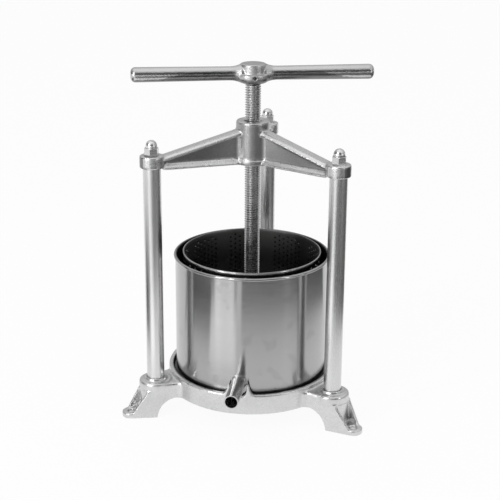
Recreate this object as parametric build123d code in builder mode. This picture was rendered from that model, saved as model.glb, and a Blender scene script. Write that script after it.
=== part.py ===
from build123d import *
from math import atan, cos, degrees, radians, sin
import os

# A small table press for fruit. A three-legged cast base carries three columns, and a cast crosspiece on the
# columns holds the screw. The screw drives a plate down into a perforated basket, which stands in a tank with
# a spout. Sizes are in millimetres. +Z is up, the origin is on the bench under the screw, the rear column is
# on +Y and the spout points along -Y.

# Tank
tank_r = 80.0
tank_wall = 1.2
tank_height = 129.3
tank_foot_gap = 0.4
bead_d = 3.2

# Spout
spout_d = 14.4
spout_wall = 1.0
spout_length = 48.0
spout_sill = 1.1
spout_weld = 0.9
spout_weld_length = 5.0

# Basket
juice_gap = 7.3
basket_wall = 1.0
basket_rise = 2.7
basket_hem = 0.7
basket_hem_height = 3.5
basket_band_count = 9
basket_turn = 65.0
basket_band_columns = 3
basket_hole_rows = 9
basket_hole_d = 2.5
basket_column_pitch = 10.4
basket_hole_margin = 3.0

# Drain plate
drain_clearance = 0.7
drain_sheet = 1.5
drain_height = 5.0
drain_hole_d = 4.0
drain_hole_pitch = 11.0
drain_notch_width = 12.0
drain_notch_count = 6

# Press plate and its bearing on the screw
cake_depth = 55.0
plate_clearance = 2.0
plate_thickness = 6.0
plate_edge_fillet = 1.2
plate_hub_r = 20.0
plate_hub_height = 15.0
plate_rib_count = 6
plate_rib_width = 4.0
plate_rib_margin = 8.0
plate_rib_step = 3.0
journal_d = 10.0
journal_clearance = 0.05
axial_play = 0.1
thrust_washer_r = 14.0
thrust_washer_thickness = 2.0
thrust_washer_play = 0.3
retaining_recess_r = 13.0
retaining_recess_depth = 8.0
retaining_washer_r = 10.0
retaining_washer_thickness = 2.0
retaining_screw_d = 6.0
retaining_screw_length = 14.0
retaining_screw_play = 0.05
retaining_head_flats = 10.0
retaining_head_height = 4.0

# Base casting
leg_rise = 20.5
floor_depth = 9.5
floor_thickness = 6.0
floor_rib_width = 6.0
pad_rise = 8.8
pad_clearance = 1.2
seat_depth = 6.0
seat_clearance = 3.0
ring_wall = 5.0
ring_fillet = 1.8
saddle_clearance = 1.5
saddle_cut = 3.5
saddle_lip = 2.2
saddle_skirt = 5.6
saddle_height = 11.5
column_offset = 19.0
leg_shoulder_drop = 12.5
leg_root_half = 19.0
leg_root_fillet = 9.0
leg_arch_reach = 4.5
leg_rib = 3.0
leg_slope_start = 14.0
leg_slope_drop = 2.0
leg_slope_end = 1.0
boss_r = 17.5
boss_ledge = 0.8
boss_rise = 9.0
boss_fillet = 2.6
leg_top_drop = 0.8
collar_r = 11.4
collar_height = 3.0
ear_offset = 27.5
ear_r = 9.5
ear_thickness = 5.5
ear_hole_d = 7.0

# Columns, tie rods and their nuts
column_d = 18.0
column_wall = 2.0
column_clear = 225.0
socket_depth = 3.0
socket_clearance = 0.1
rod_d = 8.0
rod_hole_play = 0.5
rod_tail = 2.5
nut_play = 0.05
nut_flats = 13.0
nut_chamfer = 0.8
base_nut_height = 6.5
base_washer_r = 8.0
base_washer_thickness = 1.6
nut_pocket_play = 2.5
nut_seat_rise = 1.5
dome_nut_height = 15.2
dome_hex_height = 7.6
dome_d = 11.6
dome_cap = 3.5

# Crosspiece
end_boss_r = 12.1
end_boss_height = 12.8
end_boss_fillet = 1.0
hub_r = 17.0
hub_height = 40.0
hub_fillet = 1.5
hub_foot = 4.0
hub_rim = 1.6
arm_root_drop = 9.0
arm_tip_drop = 1.2
arm_width = 16.5
arm_flange = 4.2
arm_foot_flange = 5.0
arm_foot_rise = 2.2
arm_bevel = 3.0
arm_web = 8.0
arm_web_fillet = 6.0

# Screw
screw_d = 16.0
thread_depth = 1.5
thread_pitch = 2.5
thread_root_share = 0.25
thread_crest_share = 0.125
screw_clearance = 0.4
screw_lead_in = 1.0
screw_showing = 38.0
shank_d = 12.0
shank_length = 13.5
shank_play = 0.05

# Handle
handle_length = 244.0
handle_angle = 15.2
handle_root_d = 14.0
handle_end_d = 15.2
handle_end_fillet = 5.0
handle_end_flat = 1.0
handle_hub_r = 13.0
handle_bowl_r = 16.8
handle_bowl_height = 9.5
handle_bowl_fillet = 6.5
handle_bowl_lip = 1.2
handle_cap_height = 10.0
handle_hub_fillet = 1.6
handle_flare = 2.4
handle_flare_start = 0.5
handle_flare_length = 11.0
pin_d = 3.2
pin_play = 0.05
pin_length = 13.0
pin_rise = 6.8

# Radii, worked out from the tank
tank_bore_r = tank_r - tank_wall
basket_r = tank_bore_r - juice_gap
basket_bore_r = basket_r - basket_wall
plate_r = basket_bore_r - plate_clearance
drain_r = basket_bore_r - drain_clearance
pad_r = tank_bore_r - pad_clearance
seat_r = tank_r + seat_clearance
ring_r = seat_r + ring_wall
column_circle_r = ring_r + column_offset
ear_circle_r = column_circle_r + ear_offset
spout_r = spout_d / 2
spout_bore_r = spout_r - spout_wall
spout_end_r = tank_r + spout_length
saddle_half = spout_r + saddle_clearance
post_r = boss_r - boss_ledge
column_r = column_d / 2
socket_r = column_r + socket_clearance
rod_r = rod_d / 2
rod_hole_r = rod_r + rod_hole_play
nut_bore_r = rod_r + nut_play
nut_corner_r = nut_flats / 2 / cos(radians(30))
nut_pocket_r = nut_corner_r + nut_pocket_play
journal_r = journal_d / 2
retaining_screw_r = retaining_screw_d / 2
screw_r = screw_d / 2
screw_core_r = screw_r - thread_depth
screw_bore_r = screw_r + screw_clearance
shank_r = shank_d / 2
pin_r = pin_d / 2

# Levels, worked out from the bench
floor_bottom = leg_rise + floor_depth
seat_level = floor_bottom + floor_thickness
pad_top = seat_level + pad_rise
ring_top = seat_level + seat_depth
saddle_top = ring_top + saddle_height
leg_shoulder = ring_top - leg_shoulder_drop
boss_top = leg_shoulder + boss_rise
leg_top = boss_top - leg_top_drop
collar_top = boss_top + collar_height
tank_bottom = seat_level + tank_foot_gap
tank_top = seat_level + tank_height
tank_floor = pad_top + tank_wall
spout_level = tank_floor + spout_sill + spout_bore_r
basket_top = tank_top + basket_rise
drain_top = tank_floor + drain_height
plate_bottom = drain_top + cake_depth
plate_top = plate_bottom + plate_thickness
plate_hub_top = plate_top + plate_hub_height
recess_top = plate_bottom + retaining_recess_depth
journal_end = recess_top - axial_play
retaining_washer_bottom = journal_end - retaining_washer_thickness
screw_shoulder = plate_hub_top + thrust_washer_thickness + axial_play
column_bottom = collar_top - socket_depth
crosspiece_bottom = collar_top + column_clear
column_top = crosspiece_bottom + socket_depth
end_boss_top = crosspiece_bottom + end_boss_height
hub_top = crosspiece_bottom + hub_height
hub_bottom = crosspiece_bottom - hub_foot
handle_bottom = hub_top + screw_showing
handle_level = handle_bottom + handle_bowl_height
handle_top = handle_level + handle_cap_height
pin_level = handle_bottom + pin_rise
nut_seat = leg_rise + nut_seat_rise
base_washer_bottom = nut_seat - base_washer_thickness
base_nut_bottom = base_washer_bottom - base_nut_height
rod_bottom = base_nut_bottom - rod_tail
dome_bore = dome_nut_height - dome_cap
rod_top = end_boss_top + dome_bore - nut_play

# The three legs, columns and arms, evenly spaced about the screw from the rear one
first_angle = 90.0
station_names = ("rear", "left", "right")
station_count = len(station_names)
stations = {name: first_angle + 360 / station_count * turn for turn, name in enumerate(station_names)}

# Room for cuts to run past a face, and the reach of a level test
overcut = 1.0
near = 0.01


def outwards(angle):
    return Vector(cos(radians(angle)), sin(radians(angle)), 0)


def upright_plane(angle, level=0.0):
    # Vertical plane through the screw's axis: sketch X runs outwards at the angle, sketch Y runs up
    return Plane(origin=(0, 0, level), x_dir=outwards(angle), z_dir=outwards(angle - 90))


def level_plane(angle, level=0.0):
    # Level plane turned about the screw's axis: sketch X runs outwards at the angle
    return Plane(origin=(0, 0, level), x_dir=outwards(angle), z_dir=(0, 0, 1))


def cross_plane(level):
    # Plane through the screw's axis along the handle, for the pin that goes square through it
    return upright_plane(handle_angle, level)


def at_level(edges, level):
    return edges.filter_by_position(Axis.Z, level - near, level + near)


def finish(builder, label):
    builder.part.label = label
    export_step(builder.part, f"parts/{label}.step")


os.makedirs("parts", exist_ok=True)

# Saddle in the front of the rim, two lobes beside the spout, on the curve of the ring
with BuildPart() as saddle:
    with BuildSketch(Plane.XY.offset(leg_shoulder)):
        Circle(ring_r)
        Circle(seat_r, mode=Mode.SUBTRACT)
    extrude(amount=saddle_top - leg_shoulder)
    lobe_tip = saddle_half + saddle_lip
    lobe_foot = lobe_tip + saddle_skirt
    with BuildSketch(Plane.XZ):
        with BuildLine():
            Line((0, leg_shoulder), (lobe_foot, leg_shoulder))
            Line((lobe_foot, leg_shoulder), (lobe_foot, ring_top))
            EllipticalCenterArc((lobe_foot, saddle_top), saddle_skirt, saddle_height, 180, arc_size=90)
            Line((lobe_tip, saddle_top), (0, saddle_top))
            Line((0, saddle_top), (0, leg_shoulder))
        make_face()
        mirror(about=Plane.YZ)
    extrude(amount=ring_r + overcut, mode=Mode.INTERSECT)
    fillet(saddle.edges().group_by(Axis.Z)[-1].filter_by(GeomType.LINE), saddle_lip / 3)

# Boss and collar that carry one column on the base
with BuildPart() as column_boss:
    with BuildSketch(Plane.XY.offset(leg_shoulder)):
        Circle(boss_r)
    extrude(amount=boss_rise)
    fillet(column_boss.edges().group_by(Axis.Z)[-1], min(boss_fillet, boss_rise / 2))
    with BuildSketch(Plane.XY.offset(boss_top)):
        Circle(collar_r)
    extrude(amount=collar_height)

# Outline of the ring and its three legs, seen from above
with BuildSketch() as base_outline:
    Circle(ring_r)
    for angle in stations.values():
        along = outwards(angle)
        across = outwards(angle + 90)
        with BuildLine():
            Polyline(
                along * seat_r + across * leg_root_half,
                along * seat_r - across * leg_root_half,
                along * column_circle_r - across * post_r,
                along * column_circle_r + across * post_r,
                close=True,
            )
        make_face()
    with PolarLocations(column_circle_r, station_count, first_angle):
        Circle(post_r)
    fillet([v for v in base_outline.vertices() if abs(Vector(v).length - ring_r) < near], leg_root_fillet)

# Level tops of the legs, from the ring out to the columns
with BuildPart() as leg_tops:
    with BuildSketch(Plane.XY.offset(leg_shoulder)):
        add(base_outline.sketch)
    extrude(amount=leg_top - leg_shoulder)
    with BuildSketch(Plane.XY.offset(leg_shoulder)):
        Circle(column_circle_r)
        Circle(seat_r, mode=Mode.SUBTRACT)
    extrude(amount=leg_top - leg_shoulder, mode=Mode.INTERSECT)
    leg_rims = at_level(leg_tops.edges().filter_by(GeomType.LINE), leg_top)
    fillet(leg_rims, min(boss_fillet, (leg_top - leg_shoulder) / 2))

# Base casting: ring and legs, arched underneath, with column bosses, ears and the tank's seat
with BuildPart() as base_casting:
    add(base_outline.sketch)
    extrude(amount=leg_shoulder)
    slope_foot = column_circle_r + leg_slope_start
    slope_level = leg_shoulder - leg_slope_drop
    slope_tip = ear_circle_r + leg_slope_end
    ear_tip = ear_circle_r + ear_r + overcut
    for angle in stations.values():
        # Foot: post and ear joined by their tangents
        with BuildSketch(level_plane(angle)):
            with Locations((column_circle_r, 0)):
                Circle(post_r)
            with Locations((ear_circle_r, 0)):
                Circle(ear_r)
            make_hull()
        extrude(amount=leg_shoulder)
        # Pocket between the two ribs of the foot
        with BuildSketch(level_plane(angle, ear_thickness)):
            with Locations((column_circle_r, 0)):
                Circle(post_r - leg_rib)
            with Locations((ear_circle_r, 0)):
                Circle(ear_r - leg_rib)
            make_hull()
            with Locations((column_circle_r, 0)):
                Rectangle(2 * boss_r, 2 * boss_r, align=(Align.MAX, Align.CENTER), mode=Mode.SUBTRACT)
        extrude(amount=leg_shoulder, mode=Mode.SUBTRACT)
        # Slope of the ribs, from the post down to the ear
        with BuildSketch(upright_plane(angle)):
            with BuildLine():
                Polyline(
                    (slope_foot, leg_shoulder + overcut),
                    (slope_foot, slope_level),
                    (slope_tip, ear_thickness),
                    (ear_tip, ear_thickness),
                    (ear_tip, leg_shoulder + overcut),
                    close=True,
                )
            make_face()
        extrude(amount=boss_r, both=True, mode=Mode.SUBTRACT)
        # Round post under the column, standing between the ribs
        with BuildSketch(level_plane(angle)):
            with Locations((column_circle_r, 0)):
                Circle(post_r)
        extrude(amount=leg_shoulder)
    # Arches between the feet: one round cut under the whole ring
    arch_foot = column_circle_r + leg_arch_reach
    with BuildSketch(Plane.XZ):
        with BuildLine():
            Line((0, leg_rise), (arch_foot - leg_rise, leg_rise))
            CenterArc((arch_foot - leg_rise, 0), leg_rise, 0, 90)
            Line((arch_foot, 0), (arch_foot, -overcut))
            Line((arch_foot, -overcut), (0, -overcut))
            Line((0, -overcut), (0, leg_rise))
        make_face()
    revolve(axis=Axis.Z, mode=Mode.SUBTRACT)
    # Rim of the ring, open inside
    with BuildSketch(Plane.XY.offset(leg_shoulder)):
        Circle(ring_r)
    extrude(amount=ring_top - leg_shoulder)
    with BuildSketch(Plane.XY.offset(leg_rise - overcut)):
        Circle(seat_r)
    extrude(amount=ring_top - leg_rise + 2 * overcut, mode=Mode.SUBTRACT)
    fillet(base_casting.edges().group_by(Axis.Z)[-1], min(ring_fillet, ring_wall / 3))
    # Floor: a raised pad under the tank's floor, and a groove around it for the tank's foot
    pad_inside_r = pad_r - floor_thickness
    pad_underside = pad_top - floor_thickness
    with BuildSketch(Plane.XZ):
        with BuildLine():
            Polyline(
                (0, pad_underside),
                (pad_inside_r, pad_underside),
                (pad_inside_r, floor_bottom),
                (seat_r + ring_wall / 2, floor_bottom),
                (seat_r + ring_wall / 2, seat_level),
                (pad_r, seat_level),
                (pad_r, pad_top),
                (0, pad_top),
                close=True,
            )
        make_face()
    revolve(axis=Axis.Z)
    # Ribs under the floor, from the middle to each leg
    for angle in stations.values():
        with BuildSketch(upright_plane(angle)):
            with BuildLine():
                Polyline(
                    (0, leg_rise),
                    (seat_r + ring_wall / 2, leg_rise),
                    (seat_r + ring_wall / 2, floor_bottom + overcut),
                    (pad_inside_r, floor_bottom + overcut),
                    (pad_inside_r, pad_underside + overcut),
                    (0, pad_underside + overcut),
                    close=True,
                )
            make_face()
        extrude(amount=floor_rib_width / 2, both=True)
    with PolarLocations(column_circle_r, station_count, first_angle):
        add(column_boss.part)
    add(leg_tops.part)
    # Notch for the spout
    add(saddle.part)
    notch_bottom = ring_top - saddle_cut
    with BuildSketch(Plane.XZ.offset(seat_r - overcut)):
        with Locations((0, notch_bottom + saddle_half)):
            Circle(saddle_half)
            Rectangle(2 * saddle_half, 2 * saddle_height, align=(Align.CENTER, Align.MIN))
    extrude(amount=ring_wall + 2 * overcut, mode=Mode.SUBTRACT)
    # Column sockets, rod holes, nut pockets and bench bolt holes
    with Locations(Plane.XY.offset(collar_top)):
        with PolarLocations(column_circle_r, station_count, first_angle):
            CounterBoreHole(rod_hole_r, socket_r, socket_depth)
    with BuildSketch(Plane.XY.offset(-overcut)):
        with PolarLocations(column_circle_r, station_count, first_angle):
            Circle(nut_pocket_r)
    extrude(amount=nut_seat + overcut, mode=Mode.SUBTRACT)
    with Locations(Plane.XY.offset(ear_thickness)):
        with PolarLocations(ear_circle_r, station_count, first_angle):
            Hole(ear_hole_d / 2)
finish(base_casting, "base_casting")

# Columns and the tie rods inside them
for station, angle in stations.items():
    place = outwards(angle) * column_circle_r
    with BuildPart() as column:
        with BuildSketch(Plane.XY.offset(column_bottom)):
            with Locations(place):
                Circle(column_r)
                Circle(column_r - column_wall, mode=Mode.SUBTRACT)
        extrude(amount=column_top - column_bottom)
    finish(column, f"column_{station}")

    with BuildPart() as tie_rod:
        with BuildSketch(Plane.XY.offset(rod_bottom)):
            with Locations(place):
                Circle(rod_r)
        extrude(amount=rod_top - rod_bottom)
        chamfer(tie_rod.edges().filter_by(GeomType.CIRCLE), rod_r / 5)
    finish(tie_rod, f"tie_rod_{station}")

# Dome nuts on the crosspiece
with BuildPart() as dome_nut:
    with BuildSketch(Plane.XY.offset(end_boss_top)):
        RegularPolygon(nut_flats / 2, 6, major_radius=False)
    extrude(amount=dome_hex_height)
    with BuildSketch(Plane.XZ):
        with BuildLine():
            Polyline(
                (0, end_boss_top),
                (nut_corner_r, end_boss_top),
                (nut_corner_r, end_boss_top + dome_hex_height - nut_chamfer),
                (nut_flats / 2, end_boss_top + dome_hex_height),
                (0, end_boss_top + dome_hex_height),
                close=True,
            )
        make_face()
    revolve(axis=Axis.Z, mode=Mode.INTERSECT)
    dome_r = dome_d / 2
    dome_top = end_boss_top + dome_nut_height
    with BuildSketch(Plane.XZ):
        with BuildLine():
            Line((0, end_boss_top), (dome_r, end_boss_top))
            Line((dome_r, end_boss_top), (dome_r, dome_top - dome_r))
            CenterArc((0, dome_top - dome_r), dome_r, 0, 90)
            Line((0, dome_top), (0, end_boss_top))
        make_face()
    revolve(axis=Axis.Z)
    with BuildSketch(Plane.XY.offset(end_boss_top)):
        Circle(nut_bore_r)
    extrude(amount=dome_bore, mode=Mode.SUBTRACT)
with BuildPart() as dome_nuts:
    with PolarLocations(column_circle_r, station_count, first_angle):
        add(dome_nut.part)
finish(dome_nuts, "dome_nuts")

# Washers and nuts in the pockets under the base
with BuildPart() as base_washers:
    with BuildSketch(Plane.XY.offset(base_washer_bottom)):
        with PolarLocations(column_circle_r, station_count, first_angle):
            Circle(base_washer_r)
            Circle(rod_hole_r, mode=Mode.SUBTRACT)
    extrude(amount=base_washer_thickness)
finish(base_washers, "base_washers")

with BuildPart() as base_nuts:
    with BuildSketch(Plane.XY.offset(base_nut_bottom)):
        with PolarLocations(column_circle_r, station_count, first_angle):
            RegularPolygon(nut_flats / 2, 6, major_radius=False)
            Circle(nut_bore_r, mode=Mode.SUBTRACT)
    extrude(amount=base_nut_height)
finish(base_nuts, "base_nuts")

# Hub of the crosspiece, and the boss at the end of one arm
with BuildPart() as hub:
    with BuildSketch(Plane.XY.offset(hub_bottom)):
        Circle(hub_r)
    extrude(amount=hub_foot + hub_height)
    fillet(hub.edges().group_by(Axis.Z)[-1], min(hub_fillet, arm_root_drop / 2))
    with BuildSketch(Plane.XY.offset(hub_bottom)):
        Circle(hub_r + hub_rim)
    extrude(amount=arm_foot_flange)
with BuildPart() as end_boss:
    with BuildSketch(Plane.XY.offset(crosspiece_bottom)):
        Circle(end_boss_r)
    extrude(amount=end_boss_height)
    fillet(end_boss.edges().group_by(Axis.Z)[-1], min(end_boss_fillet, end_boss_height / 4))

# Arms of the crosspiece, which fall from the hub to the end bosses
arm_root_r = hub_r
arm_tip_r = column_circle_r - end_boss_r
arm_root_top = hub_top - arm_root_drop
arm_tip_top = end_boss_top - arm_tip_drop
arm_fall = (arm_root_top - arm_tip_top) / (arm_tip_r - arm_root_r)
arm_middle_top = arm_root_top + arm_fall * arm_root_r
arm_end_top = arm_root_top - arm_fall * (column_circle_r - arm_root_r)


def flange_section(bottom, thickness):
    half = arm_width / 2
    return (
        (-half, bottom),
        (half, bottom),
        (half, bottom + thickness - arm_bevel),
        (half - arm_bevel, bottom + thickness),
        (arm_bevel - half, bottom + thickness),
        (-half, bottom + thickness - arm_bevel),
    )


# Top and bottom flanges of one arm, bevelled along their upper edges
with BuildPart() as arm_flanges:
    with BuildSketch(Plane.YZ):
        with BuildLine():
            Polyline(*flange_section(arm_middle_top - arm_flange, arm_flange), close=True)
        make_face()
    top_run = Vector(column_circle_r, 0, arm_end_top - arm_middle_top)
    extrude(amount=top_run.length, dir=top_run.normalized())
    with BuildSketch(Plane.YZ):
        with BuildLine():
            Polyline(*flange_section(hub_bottom, arm_foot_flange), close=True)
        make_face()
    foot_run = Vector(column_circle_r, 0, arm_foot_rise)
    extrude(amount=foot_run.length, dir=foot_run.normalized())

# Crosspiece: hub, three arms of I section and three end bosses
with BuildPart() as crosspiece:
    # Webs, rounded into the hub and the end bosses
    with BuildSketch(Plane.XY.offset(crosspiece_bottom)) as web_outline:
        Circle(hub_r)
        with PolarLocations(column_circle_r, station_count, first_angle):
            Circle(end_boss_r)
        with PolarLocations(0, station_count, first_angle):
            Rectangle(column_circle_r, arm_web, align=(Align.MIN, Align.CENTER))
        fillet(web_outline.vertices(), arm_web_fillet)
    extrude(amount=arm_middle_top - crosspiece_bottom)
    for angle in stations.values():
        with BuildSketch(upright_plane(angle)):
            with BuildLine():
                Polyline(
                    (0, arm_middle_top),
                    (column_circle_r, arm_end_top),
                    (column_circle_r + end_boss_r + overcut, arm_end_top),
                    (column_circle_r + end_boss_r + overcut, arm_middle_top + overcut),
                    (0, arm_middle_top + overcut),
                    close=True,
                )
            make_face()
        extrude(amount=hub_r + overcut, both=True, mode=Mode.SUBTRACT)
    with PolarLocations(0, station_count, first_angle):
        add(arm_flanges.part)
    add(hub.part)
    with PolarLocations(column_circle_r, station_count, first_angle):
        add(end_boss.part)
    # Level seats under the end bosses
    with BuildSketch(Plane.XY.offset(crosspiece_bottom)):
        with PolarLocations(column_circle_r, station_count, first_angle):
            Circle(end_boss_r)
    extrude(amount=-hub_foot - overcut, mode=Mode.SUBTRACT)
    # Screw's bore with its lead-in, column sockets and rod holes
    with BuildSketch(Plane.XZ):
        with BuildLine():
            Polyline(
                (0, hub_bottom),
                (screw_bore_r, hub_bottom),
                (screw_bore_r, hub_top - screw_lead_in),
                (screw_bore_r + screw_lead_in, hub_top),
                (0, hub_top),
                close=True,
            )
        make_face()
    revolve(axis=Axis.Z, mode=Mode.SUBTRACT)
    with BuildSketch(Plane.XY.offset(crosspiece_bottom)):
        with PolarLocations(column_circle_r, station_count, first_angle):
            Circle(socket_r)
    extrude(amount=socket_depth, mode=Mode.SUBTRACT)
    with Locations(Plane.XY.offset(end_boss_top)):
        with PolarLocations(column_circle_r, station_count, first_angle):
            Hole(rod_hole_r)
finish(crosspiece, "crosspiece")

# Screw: one turned shape with the thread's section ring by ring, a journal below and a shank above
thread_root = thread_pitch * thread_root_share
thread_crest = thread_pitch * thread_crest_share
thread_flank = (thread_pitch - thread_root - thread_crest) / 2
thread_count = int((handle_bottom - screw_shoulder) / thread_pitch)
thread_start = handle_bottom - thread_count * thread_pitch
thread_points = []
for turn in range(thread_count):
    foot = thread_start + turn * thread_pitch + thread_root / 2
    thread_points.append((screw_core_r, foot))
    thread_points.append((screw_r, foot + thread_flank))
    thread_points.append((screw_r, foot + thread_flank + thread_crest))
    thread_points.append((screw_core_r, foot + 2 * thread_flank + thread_crest))
with BuildPart() as screw:
    with BuildSketch(Plane.XZ):
        with BuildLine():
            Polyline(
                (0, journal_end),
                (journal_r, journal_end),
                (journal_r, screw_shoulder),
                (screw_core_r, screw_shoulder),
                *thread_points,
                (screw_core_r, handle_bottom),
                (shank_r, handle_bottom),
                (shank_r, handle_bottom + shank_length),
                (0, handle_bottom + shank_length),
                close=True,
            )
        make_face()
    revolve(axis=Axis.Z)
    with BuildSketch(Plane.XY.offset(journal_end)):
        Circle(retaining_screw_r + retaining_screw_play)
    extrude(amount=retaining_screw_length + overcut, mode=Mode.SUBTRACT)
    with BuildSketch(cross_plane(pin_level)):
        Circle(pin_r + pin_play)
    extrude(amount=screw_r, both=True, mode=Mode.SUBTRACT)
finish(screw, "screw")

# Handle: two arms and a hub, bored for the shank and the pin
with BuildPart() as handle:
    arm_half = handle_length / 2
    root_r = handle_root_d / 2
    end_r = handle_end_d / 2
    flare_start = handle_hub_r - handle_flare_start
    flare_end = flare_start + handle_flare_length
    flare_r = root_r + handle_flare
    with BuildSketch(upright_plane(handle_angle, handle_level)) as arm_profile:
        with BuildLine():
            arm_line = Line((flare_end, root_r), (arm_half, end_r))
            TangentArc((flare_end, root_r), (flare_start, flare_r), tangent=-(arm_line % 0))
            Line((flare_start, flare_r), (0, flare_r))
            Line((0, flare_r), (0, 0))
            Line((0, 0), (arm_half, 0))
            Line((arm_half, 0), (arm_half, end_r))
        make_face()
        end_corner = arm_profile.vertices().group_by(Axis.X)[-1].sort_by(Axis.Y)[-1]
        fillet(end_corner, min(handle_end_fillet, end_r - handle_end_flat))
        mirror(about=Plane.YZ)
    revolve(axis=Axis((0, 0, handle_level), outwards(handle_angle)))
    with BuildSketch(Plane.XZ) as hub_profile:
        with Locations((0, handle_bottom)):
            Rectangle(handle_bowl_r, handle_bowl_height, align=(Align.MIN, Align.MIN))
            Rectangle(handle_hub_r, handle_top - handle_bottom, align=(Align.MIN, Align.MIN))
        bowl_corners = hub_profile.vertices().group_by(Axis.X)[-1].sort_by(Axis.Y)
        fillet(bowl_corners[0], min(handle_bowl_fillet, handle_bowl_height - 2 * handle_bowl_lip))
        fillet(bowl_corners[1], handle_bowl_lip)
    revolve(axis=Axis.Z)
    fillet(at_level(handle.edges(), handle_top), handle_hub_fillet)
    with BuildSketch(Plane.XY.offset(handle_bottom)):
        Circle(shank_r + shank_play)
    extrude(amount=shank_length + shank_play, mode=Mode.SUBTRACT)
    with BuildSketch(cross_plane(pin_level)):
        Circle(pin_r + pin_play)
    extrude(amount=handle_bowl_r + overcut, both=True, mode=Mode.SUBTRACT)
finish(handle, "handle")

with BuildPart() as handle_pin:
    with BuildSketch(cross_plane(pin_level)):
        Circle(pin_r)
    extrude(amount=pin_length / 2, both=True)
finish(handle_pin, "handle_pin")

# Press plate: a ribbed disc whose hub turns freely on the screw's journal
with BuildPart() as press_plate:
    with BuildSketch(Plane.XY.offset(plate_bottom)):
        Circle(plate_r)
    extrude(amount=plate_thickness)
    fillet(press_plate.edges().filter_by(GeomType.CIRCLE), min(plate_edge_fillet, plate_thickness / 3))
    with BuildSketch(Plane.XY.offset(plate_bottom)):
        Circle(plate_hub_r)
    extrude(amount=plate_hub_top - plate_bottom)
    for rib in range(plate_rib_count):
        with BuildSketch(upright_plane(first_angle + 360 / plate_rib_count * rib)):
            with BuildLine():
                Polyline(
                    (plate_hub_r / 2, plate_top - plate_rib_step),
                    (plate_r - plate_rib_margin, plate_top - plate_rib_step),
                    (plate_r - plate_rib_margin, plate_top + plate_rib_step),
                    (plate_hub_r, plate_hub_top - plate_rib_step),
                    (plate_hub_r / 2, plate_hub_top - plate_rib_step),
                    close=True,
                )
            make_face()
        extrude(amount=plate_rib_width / 2, both=True)
    with BuildSketch(Plane.XY.offset(plate_bottom)):
        Circle(journal_r + journal_clearance)
    extrude(amount=plate_hub_top - plate_bottom, mode=Mode.SUBTRACT)
    with BuildSketch(Plane.XY.offset(plate_bottom)):
        Circle(retaining_recess_r)
    extrude(amount=retaining_recess_depth, mode=Mode.SUBTRACT)
finish(press_plate, "press_plate")

with BuildPart() as thrust_washer:
    with BuildSketch(Plane.XY.offset(plate_hub_top)):
        Circle(thrust_washer_r)
        Circle(journal_r + thrust_washer_play, mode=Mode.SUBTRACT)
    extrude(amount=thrust_washer_thickness)
finish(thrust_washer, "thrust_washer")

with BuildPart() as retaining_washer:
    with BuildSketch(Plane.XY.offset(retaining_washer_bottom)):
        Circle(retaining_washer_r)
        Circle(retaining_screw_r + retaining_screw_play, mode=Mode.SUBTRACT)
    extrude(amount=retaining_washer_thickness)
finish(retaining_washer, "retaining_washer")

with BuildPart() as retaining_screw:
    with BuildSketch(Plane.XY.offset(retaining_washer_bottom - retaining_head_height)):
        RegularPolygon(retaining_head_flats / 2, 6, major_radius=False)
    extrude(amount=retaining_head_height)
    with BuildSketch(Plane.XY.offset(retaining_washer_bottom)):
        Circle(retaining_screw_r)
    extrude(amount=retaining_washer_thickness + retaining_screw_length)
finish(retaining_screw, "retaining_screw")

# Tank: wall with a rolled rim, and a floor set up above the foot
with BuildPart() as tank:
    with BuildSketch(Plane.XZ):
        with BuildLine():
            Polyline(
                (0, pad_top),
                (tank_bore_r, pad_top),
                (tank_bore_r, tank_bottom),
                (tank_r, tank_bottom),
                (tank_r, tank_top - bead_d / 2),
                (tank_bore_r, tank_top - bead_d / 2),
                (tank_bore_r, tank_floor),
                (0, tank_floor),
                close=True,
            )
        make_face()
        with Locations((tank_r, tank_top - bead_d / 2)):
            Circle(bead_d / 2)
    revolve(axis=Axis.Z)
    with BuildSketch(Plane.XZ):
        with Locations((0, spout_level)):
            Circle(spout_bore_r)
    extrude(amount=tank_r + overcut, mode=Mode.SUBTRACT)
finish(tank, "tank")

# Spout: a tube fitted to the curve of the tank's wall, with a weld round its root
with BuildPart() as spout:
    spout_root = tank_r - spout_r
    weld_run = spout_r + spout_weld_length
    with BuildSketch(Plane.XZ.offset(spout_root)):
        with Locations((0, spout_level)):
            Circle(spout_r)
    extrude(amount=spout_end_r - spout_root)
    weld_root_r = spout_r + spout_weld * weld_run / spout_weld_length
    with BuildSketch(Plane.XZ.offset(spout_root)):
        with Locations((0, spout_level)):
            Circle(weld_root_r)
    extrude(amount=weld_run, taper=degrees(atan(spout_weld / spout_weld_length)))
    with BuildSketch(Plane.XY.offset(tank_floor - spout_d)):
        Circle(tank_r)
    extrude(amount=3 * spout_d, mode=Mode.SUBTRACT)
    with BuildSketch(Plane.XZ.offset(spout_root)):
        with Locations((0, spout_level)):
            Circle(spout_bore_r)
    extrude(amount=spout_end_r, mode=Mode.SUBTRACT)
finish(spout, "spout")

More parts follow.
